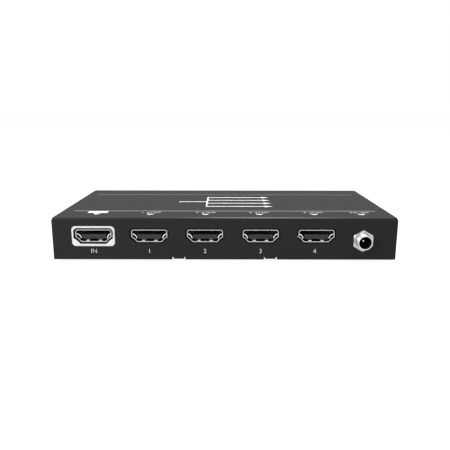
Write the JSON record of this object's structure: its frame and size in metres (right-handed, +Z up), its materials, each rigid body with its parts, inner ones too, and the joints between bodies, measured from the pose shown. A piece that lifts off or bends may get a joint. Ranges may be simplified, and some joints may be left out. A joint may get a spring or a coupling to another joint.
{
  "type": "hdmi splitter",
  "caption": "Slim black sheet-metal box that feeds one video input to several outputs, with a row of sockets and a hex-nut power jack on its long side.",
  "frame": {"origin": "centre of the whole part's box in plan, at the plane of the feet", "axes": "+X along the case, to the right as seen from the sockets; the sockets face -Y; +Z up"},
  "size_m": [0.14, 0.0744, 0.0188],
  "materials": {
    "black_paint": "satin black powder coat",
    "black_screw": "black oxide",
    "foot_rubber": "matt",
    "pillar_brass": "turned",
    "circuit_board": "green solder mask",
    "plated_steel": "tin plate",
    "bright_nickel": "bright nickel plate",
    "socket_nickel": "nickel plate",
    "contact_gold": "gold flash",
    "black_moulding": "moulded",
    "chip_epoxy": "matt epoxy",
    "thermal_rubber": "soft pad",
    "sink_aluminium": "anodised",
    "ferrite": "moulded ferrite",
    "lamp_plastic": "clear resin",
    "clear_plastic": "frosted clear"
  },
  "bodies": {
    "splitter": {"board_pillars": "pillar_brass", "board_screws": "plated_steel", "bottom_plate": "black_paint", "cover_screws": "black_screw", "crystal": "plated_steel", "dc_jack_barrel": "bright_nickel", "dc_jack_body": "black_moulding", "dc_jack_nut": "bright_nickel", "dc_jack_pin": "bright_nickel", "dc_jack_spring": "plated_steel", "dc_jack_terminals": "plated_steel", "display_data_memory": "chip_epoxy", "edid_switch_housing": "plated_steel", "filter_capacitors": "sink_aluminium", "heat_sink": "sink_aluminium", "input_socket_contacts": "contact_gold", "input_socket_core": "black_moulding", "input_socket_shell": "socket_nickel", "light_pipes": "clear_plastic", "main_board": "circuit_board", "microcontroller": "chip_epoxy", "output_1_socket_contacts": "contact_gold", "output_1_socket_core": "black_moulding", "output_1_socket_shell": "socket_nickel", "output_2_socket_contacts": "contact_gold", "output_2_socket_core": "black_moulding", "output_2_socket_shell": "socket_nickel", "output_3_socket_contacts": "contact_gold", "output_3_socket_core": "black_moulding", "output_3_socket_shell": "socket_nickel", "output_4_socket_contacts": "contact_gold", "output_4_socket_core": "black_moulding", "output_4_socket_shell": "socket_nickel", "power_inductors": "ferrite", "rubber_feet": "foot_rubber", "splitter_chip": "chip_epoxy", "status_lamps": "lamp_plastic", "surge_protectors": "chip_epoxy", "thermal_pad": "thermal_rubber", "top_cover": "black_paint", "voltage_regulator": "chip_epoxy"},
    "edid_slider": {"edid_switch_slider": "black_moulding"}
  },
  "joints": [
    {"name": "edid_slide", "type": "slide", "parent": "splitter", "child": "edid_slider", "axis": [1, 0, 0], "range_m": [-0.002, 0.002]}
  ]
}
